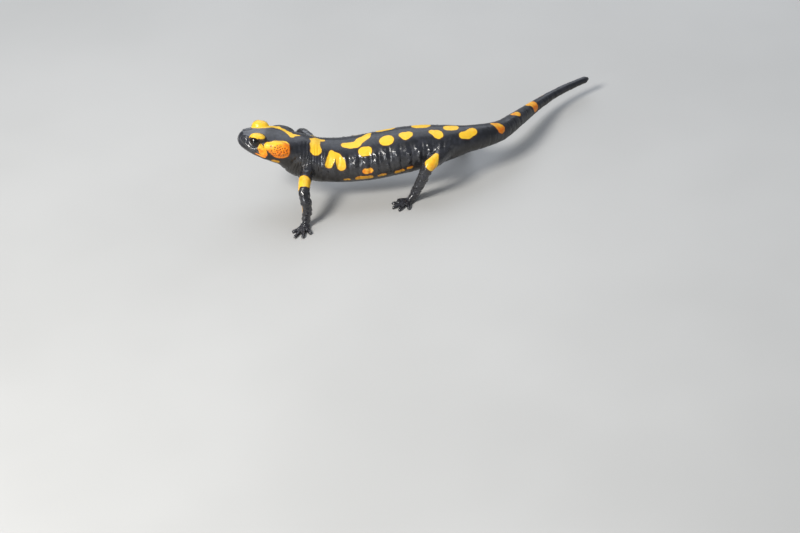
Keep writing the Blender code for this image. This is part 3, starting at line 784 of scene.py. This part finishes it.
# ---- Shaders ----
class Graph:
    """A material's nodes, made in short calls."""

    def __init__(self, name):
        self.material = bpy.data.materials.new(name)
        self.material.use_nodes = True
        self.tree = self.material.node_tree
        self.shader = self.tree.nodes["Principled BSDF"]
        self.here = self.node("ShaderNodeTexCoord").outputs["Object"]

    def put(self, socket, value):
        """Sets a socket to a number or colour, or links an output to it."""
        if isinstance(value, bpy.types.NodeSocket):
            self.tree.links.new(value, socket)
        else:
            socket.default_value = value

    def node(self, kind, values=(), **settings):
        """A node with its settings, and values for its sockets by name or number."""
        made = self.tree.nodes.new(kind)
        for key, value in settings.items():
            setattr(made, key, value)
        for socket, value in dict(values).items():
            self.put(made.inputs[socket], value)
        return made

    def number(self, name):
        """A number that the mesh carries."""
        return self.node("ShaderNodeAttribute", attribute_name=name).outputs["Fac"]

    def noise(self, cells, detail=2.0, roughness=0.5, over=None):
        """Noise from 0 to 1: cells per metre of the piece, or per unit over another triple."""
        place = self.here if over is None else over
        values = {"Vector": place, "Scale": cells, "Detail": detail, "Roughness": roughness}
        return self.node("ShaderNodeTexNoise", values).outputs["Fac"]

    def math(self, operation, first, second):
        """One sum on two numbers."""
        return self.node("ShaderNodeMath", {0: first, 1: second}, operation=operation).outputs[0]

    def times(self, first, second):
        """The product of two numbers."""
        return self.math("MULTIPLY", first, second)

    def fit(self, value, low, high, to_low=0.0, to_high=1.0):
        """A number eased from one range to another."""
        values = {"Value": value, "From Min": low, "From Max": high, "To Min": to_low, "To Max": to_high}
        return self.node("ShaderNodeMapRange", values, interpolation_type="SMOOTHSTEP").outputs["Result"]

    def blend(self, share, first, second):
        """A colour between two."""
        return self.node("ShaderNodeMix", {0: share, 6: first, 7: second}, data_type="RGBA").outputs[2]

    def between(self, share, first, second):
        """A number between two."""
        return self.node("ShaderNodeMix", {0: share, 2: first, 3: second}).outputs[0]

    def streaks(self, name):
        """Noise drawn out across the line whose lie the mesh carries."""
        lie = self.node("ShaderNodeAttribute", attribute_name=name).outputs["Vector"]
        drawn = self.node("ShaderNodeVectorMath", {0: lie, 1: STREAK_CELLS}, operation="MULTIPLY")
        return self.noise(1.0, 3.0, 0.55, over=drawn.outputs[0])

    def bump(self, height, distance):
        """A normal bent by a height, whose 1 stands for a distance in metres."""
        values = {"Height": height, "Distance": distance, "Strength": 1.0}
        return self.node("ShaderNodeBump", values).outputs["Normal"]

    def finish(self, **inputs):
        """Puts values on the shader and gives the material back."""
        for name, value in inputs.items():
            self.put(self.shader.inputs[name.replace("_", " ")], value)
        return self.material


BLACK = (0.010, 0.011, 0.015, 1.0)
BLUE_GREY = (0.026, 0.028, 0.038, 1.0)
BROWN = (0.020, 0.016, 0.011, 1.0)
RIM_BROWN = (0.085, 0.030, 0.008, 1.0)
PORE_BROWN = (0.17, 0.030, 0.003, 1.0)
YELLOW = (0.93, 0.56, 0.026, 1.0)
ORANGE = (0.90, 0.215, 0.002, 1.0)
PALE_YELLOW = (0.95, 0.68, 0.13, 1.0)
# Painted shade: the darker ochre of the markings on the belly.
SHADED_OCHRE = (0.60, 0.30, 0.012, 1.0)
PUPIL = (0.002, 0.002, 0.002, 1.0)
IRIS_DARK = (0.005, 0.003, 0.002, 1.0)
IRIS_LIGHT = (0.026, 0.013, 0.006, 1.0)
EYE_RIM = (0.006, 0.005, 0.005, 1.0)

STREAK_CELLS = (1.15, 0.26, 0.26)  # of noise per millimetre: along, aside and up
LIMB_SHIFT = (300.0, 0.0, 0.0)  # so that the legs' streaks aren't the body's
MARK_WOBBLE = 0.55        # of a marking's edge
MARK_FADE = 0.13          # of the yellow, to each side of that edge
RIM_REACH = 0.85          # of the brown rim, outside that edge


def skin_colour(g, edge, yellow, pore):
    """Black with a blue tinge or a brown belly, and yellow to orange markings with a brown rim; the
    markings' deeper orange lower down is partly painted shade, and their ochre on the belly is painted
    shade.
    """
    rim = g.times(g.fit(edge, RIM_REACH, 0.05), 0.65)
    tone = g.fit(g.noise(260.0, 4.0, 0.6), 0.35, 0.7)
    dark = g.blend(tone, BLACK, BLUE_GREY)
    dark = g.blend(g.times(g.number("under"), 0.75), dark, BROWN)
    dark = g.blend(rim, dark, RIM_BROWN)
    # Yellow to orange: partly the markings' own orange, partly painted shade on the markings' lower side.
    hue = g.math("ADD", g.number("orange_and_shade"), g.fit(g.noise(420.0, 3.0), 0.3, 0.75, -0.22, 0.28))
    bright = g.blend(g.fit(hue, 0.0, 1.0), YELLOW, ORANGE)
    flecks = g.fit(g.noise(900.0), 0.5, 0.8, 0.0, 0.35)
    bright = g.blend(flecks, bright, PALE_YELLOW)
    # Markings on the belly turn to a darker ochre: painted shade of the underside.
    bright = g.blend(g.fit(g.number("under"), 0.8, 1.0), bright, SHADED_OCHRE)
    bright = g.blend(g.fit(pore, 0.13, -0.10), bright, PORE_BROWN)
    return g.blend(yellow, dark, bright)


def skin_height(g, yellow, pore):
    """Wrinkles and beads, lower on the head and the markings, with grain and pores."""
    wrinkle = g.between(g.number("limb"), g.streaks("lie"), g.streaks("limb_lie"))
    wrinkle = g.times(wrinkle, g.fit(yellow, 0.0, 1.0, 0.52, 0.15))
    grain = g.noise(2600.0)
    beads = g.noise(1100.0)
    height = g.math("ADD", wrinkle, g.times(beads, 0.45))
    height = g.times(height, g.number("coarse"))
    height = g.math("ADD", height, g.times(grain, 0.12))
    height = g.math("SUBTRACT", height, g.fit(pore, 0.2, -0.1, 0.0, 0.35))
    return g.times(height, g.fit(g.number("limb"), 0.0, 1.0, 1.0, 0.85))


def skin_material():
    """Moist black skin with crisp yellow markings, shinier where it is wet."""
    g = Graph("moist_skin")
    mark, pore = g.number("mark"), g.number("pore")
    wobble = g.times(g.math("SUBTRACT", g.noise(700.0, 3.0), 0.5), MARK_WOBBLE)
    edge = g.math("ADD", mark, wobble)
    yellow = g.fit(edge, MARK_FADE, -MARK_FADE)
    colour = skin_colour(g, edge, yellow, pore)
    height = skin_height(g, yellow, pore)
    rough = g.fit(g.noise(500.0, 3.0), 0.3, 0.7, 0.34, 0.50)
    rough = g.math("ADD", rough, g.times(yellow, 0.09))
    rough = g.math("SUBTRACT", rough, g.times(g.number("wet"), 0.10))
    rough = g.math("SUBTRACT", rough, g.times(g.number("limb"), 0.05))
    coat = g.fit(g.number("wet"), 0.0, 1.0, 0.28, 0.85)
    coat = g.times(coat, g.fit(yellow, 0.0, 1.0, 1.0, 0.45))
    return g.finish(Base_Color=colour, Roughness=rough, Specular_IOR_Level=0.36,
                    Coat_Weight=coat, Coat_Roughness=0.17, Normal=g.bump(height, 0.00020))


def eye_material():
    """A near-black moist eye with a dark brown iris around the pupil."""
    g = Graph("moist_eye")
    off = g.math("ADD", g.number("off_axis"), g.times(g.noise(1500.0), 0.12))
    iris = g.blend(g.fit(g.noise(3200.0, 3.0), 0.35, 0.75), IRIS_DARK, IRIS_LIGHT)
    colour = g.blend(g.fit(off, *PUPIL_EDGE), PUPIL, iris)
    colour = g.blend(g.fit(off, *IRIS_EDGE), colour, EYE_RIM)
    rough = g.fit(g.noise(900.0), 0.3, 0.7, 0.10, 0.16)
    return g.finish(Base_Color=colour, Roughness=rough, Specular_IOR_Level=0.25, Coat_Weight=0.6,
                    Coat_Roughness=0.05, Normal=g.bump(g.noise(700.0), 0.00001))


def floor_material():
    """Pale studio paper."""
    g = Graph("studio_paper")
    tone = g.fit(g.noise(6.0, 3.0), 0.3, 0.7)
    colour = g.blend(tone, (0.47, 0.47, 0.46, 1.0), (0.51, 0.51, 0.50, 1.0))
    return g.finish(Base_Color=colour, Roughness=g.fit(g.noise(900.0), 0.3, 0.7, 0.6, 0.7),
                    Normal=g.bump(g.noise(1200.0), 0.00003))


# ---- Pieces ----
def cad_shift():
    """From the tables' own origin to the frame's: the move that puts the left eye in its solid."""
    low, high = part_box("eye_left")
    return (np.array(low) + np.array(high)) / 2.0 - on_head(EYE_PLACE) * MM


SHIFT = cad_shift()


def new_piece(name, mesh, material):
    """An object in the scene that moves with the animal."""
    piece = bpy.data.objects.new(name, mesh)
    bpy.context.collection.objects.link(piece)
    mesh.materials.clear()
    mesh.materials.append(material)
    mesh.shade_smooth()
    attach(piece, "root")
    return piece


def carry(mesh, name, values):
    """Stores a number or a triple on each vertex."""
    kind, field = ("FLOAT", "value") if values.ndim == 1 else ("FLOAT_VECTOR", "vector")
    mesh.attributes.new(name, kind, "POINT").data.foreach_set(field, values.astype(np.float32).ravel())


def weigh(item, name, weights):
    """A vertex group with the weights, rounded to equal steps."""
    steps = 20.0
    group = item.vertex_groups.new(name=name)
    levels = np.round(weights * steps)
    for level in np.unique(levels[levels > 0.0]):
        group.add(np.flatnonzero(levels == level).tolist(), level / steps, "REPLACE")


def soft_places(at):
    """Where the skin runs smoothly from one form into the next: lids, glands, armpits and groins."""
    behind, _, above = at.head.T
    top = window(behind, *SOFT_BEHIND) * eased(-1, 1, above)
    joints = (1.0 - eased(1.2, 1.7, at.share)) * (1.0 - eased(1, 1.5, at.leg_share))
    return np.maximum(top, joints * eased(*LEGS_ALONG, at.along))


def grown_skin():
    """The fused, wrinkled and thinned skin, flat under the feet, at the tables' own origin."""
    item = bpy.data.objects.new("growth", mesh_of(fused_shapes(), "growth"))
    bpy.context.collection.objects.link(item)
    item.data = with_modifiers(item, ("REMESH", {"mode": "VOXEL", "voxel_size": GRAIN * MM}))
    weigh(item, "soft", soft_places(Places(points_of(item.data) / MM)))
    item.data = with_modifiers(
        item, ("SMOOTH", {"factor": 0.5, "iterations": SMOOTHING_ROUNDS}),
        ("SMOOTH", {"factor": 0.5, "iterations": SOFTENING_ROUNDS, "vertex_group": "soft"}))
    points = points_of(item.data) / MM
    at = Places(points)
    points = points + points_of(item.data, "vertex_normals", "vector") * relief(at)[:, None]
    points = open_eyes(points)
    points[:, 2] = np.maximum(points[:, 2], 0.0)
    set_points(item.data, points * MM)
    weigh(item, "thinned", 1.0 - HEAD_KEPT * (1.0 - eased(24, 34, at.along)))
    triangles = sum(len(polygon.vertices) - 2 for polygon in item.data.polygons)
    mesh = with_modifiers(item, ("DECIMATE", {
        "ratio": SKIN_TRIANGLES / triangles, "vertex_group": "thinned", "vertex_group_factor": 1.0}))
    bpy.data.objects.remove(item, do_unlink=True)
    return mesh


def wetness(at):
    """How wet the skin looks: most on the flank and the legs, and nearly so on the snout."""
    flank = window(at.aside, *WET_ASIDE) * window(at.along, *WET_ALONG)
    snout = 0.8 * (1.0 - eased(11, 15, at.head[:, 0]))
    return np.maximum(np.maximum(flank, at.limb), snout)


def make_skin():
    """The one skin, with what its shader reads, over every solid of flesh."""
    mesh = grown_skin()
    points = points_of(mesh) / MM
    at = Places(points)
    # under: 1 on the belly, for its brown and for the painted shade on its markings.
    under = np.maximum(eased(60, 120, at.aside) * (1.0 - at.limb), 0.3 * at.limb)
    readings = {
        "mark": mark_distance(at), "pore": pore_distance(at), "orange_and_shade": orange_and_shade(at), "under": under,
        "limb": at.limb, "lie": at.lie, "limb_lie": at.leg_lie + LIMB_SHIFT,
        "coarse": 0.24 + 0.76 * eased(14, 28, at.along), "wet": wetness(at)}
    for name, values in readings.items():
        carry(mesh, name, values)
    set_points(mesh, points * MM + SHIFT)
    skin = new_piece("skin", mesh, skin_material())
    flesh = [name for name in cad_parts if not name.startswith("eye_")]
    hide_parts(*flesh)


def make_eye(side, word, material):
    """An eyeball whose cornea bulges a little along the way it looks."""
    look = unit(mirrored(EYE_LOOK, side))
    back = unit(np.cross(look, UP))
    axes = np.array((back, np.cross(look, back), look)) @ HEAD_AXES
    points, faces = ellipsoid(np.zeros(3), (EYE_RADIUS,) * 3, axes, 48, 64)
    height = points @ axes[2]
    off = np.linalg.norm(points - height[:, None] * axes[2], axis=1)
    off = np.where(height > 0, off, 2.0 * EYE_RADIUS - off)
    points *= (1.0 + CORNEA_BULGE * hill(off, CORNEA_RADIUS))[:, None]
    mesh = mesh_of([(points + on_head(mirrored(EYE_PLACE, side)), faces)], "eyeball_" + word)
    carry(mesh, "off_axis", off)
    set_points(mesh, points_of(mesh) + SHIFT)
    piece = new_piece("eyeball_" + word, mesh, material)
    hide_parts("eye_" + word)


# ---- Studio ----
CAMERA_AIM = (-0.0189, -0.0837, 0.0)  # metres, on the floor in front of the animal
CAMERA_DISTANCE = 1.1677  # metres
CAMERA_ELEVATION = 34.4   # degrees
CAMERA_ROLL = 7.5         # degrees
CAMERA_LENS = 112.5       # mm
CAMERA_SENSOR = 36.0      # mm
LIGHT_AIM = (0.0, 0.0, 0.02)  # metres

# Square lights: degrees round from the camera, degrees up, metres away and across, watts, colour
LIGHTS = {
    "key": (-50.0, 45.0, 0.9, 0.26, 7.6, (1.0, 0.97, 0.92)),
    "sky": (170.0, 50.0, 1.3, 1.3, 10.2, (0.86, 0.91, 1.0)),
    "front": (-36.0, 12.0, 1.0, 0.24, 1.8, (0.94, 0.96, 1.0)),
}
SURROUND = (0.80, 0.84, 0.90, 1.0)
SURROUND_STRENGTH = 0.32
FLOOR_REACH = 4.0         # metres


def make_camera():
    """The camera, above the floor and rolled a little."""
    camera = bpy.data.objects.new("camera", bpy.data.cameras.new("camera"))
    camera.data.lens = CAMERA_LENS
    camera.data.sensor_width = CAMERA_SENSOR
    camera.data.clip_start = 0.05
    turn = Matrix.Rotation(math.radians(90.0 - CAMERA_ELEVATION), 4, "X")
    turn = turn @ Matrix.Rotation(-math.radians(CAMERA_ROLL), 4, "Z")
    away = Matrix.Translation(turn.to_3x3() @ Vector((0.0, 0.0, CAMERA_DISTANCE)))
    camera.matrix_world = Matrix.Translation(CAMERA_AIM) @ away @ turn
    bpy.context.collection.objects.link(camera)
    bpy.context.scene.camera = camera


def softbox(name, azimuth, elevation, distance, size, power, colour):
    """A square area light that faces the animal; azimuth 0 is the camera's side, 90 its right."""
    light = bpy.data.objects.new(name, bpy.data.lights.new(name, "AREA"))
    light.data.size = size
    light.data.energy = power
    light.data.color = colour
    turn, tilt = math.radians(azimuth), math.radians(elevation)
    way = Vector((math.sin(turn) * math.cos(tilt), -math.cos(turn) * math.cos(tilt), math.sin(tilt)))
    light.location = way * distance + Vector(LIGHT_AIM)
    light.rotation_euler = way.to_track_quat("Z", "Y").to_euler()
    bpy.context.collection.objects.link(light)


def make_studio():
    """Pale floor, soft light and a pale surround."""
    mesh = bpy.data.meshes.new("floor")
    far = FLOOR_REACH
    mesh.from_pydata([(-far, -far, 0), (far, -far, 0), (far, far, 0), (-far, far, 0)], [], [(0, 1, 2, 3)])
    mesh.materials.append(floor_material())
    floor = bpy.data.objects.new("floor", mesh)
    bpy.context.collection.objects.link(floor)
    for name, settings in LIGHTS.items():
        softbox(name, *settings)
    world = bpy.data.worlds.new("studio")
    world.use_nodes = True
    background = world.node_tree.nodes["Background"]
    background.inputs["Color"].default_value = SURROUND
    background.inputs["Strength"].default_value = SURROUND_STRENGTH
    bpy.context.scene.world = world
    bpy.context.scene.view_settings.view_transform = "Standard"


make_studio()
make_camera()
make_skin()
EYE_FINISH = eye_material()
make_eye(1, "left", EYE_FINISH)
make_eye(-1, "right", EYE_FINISH)
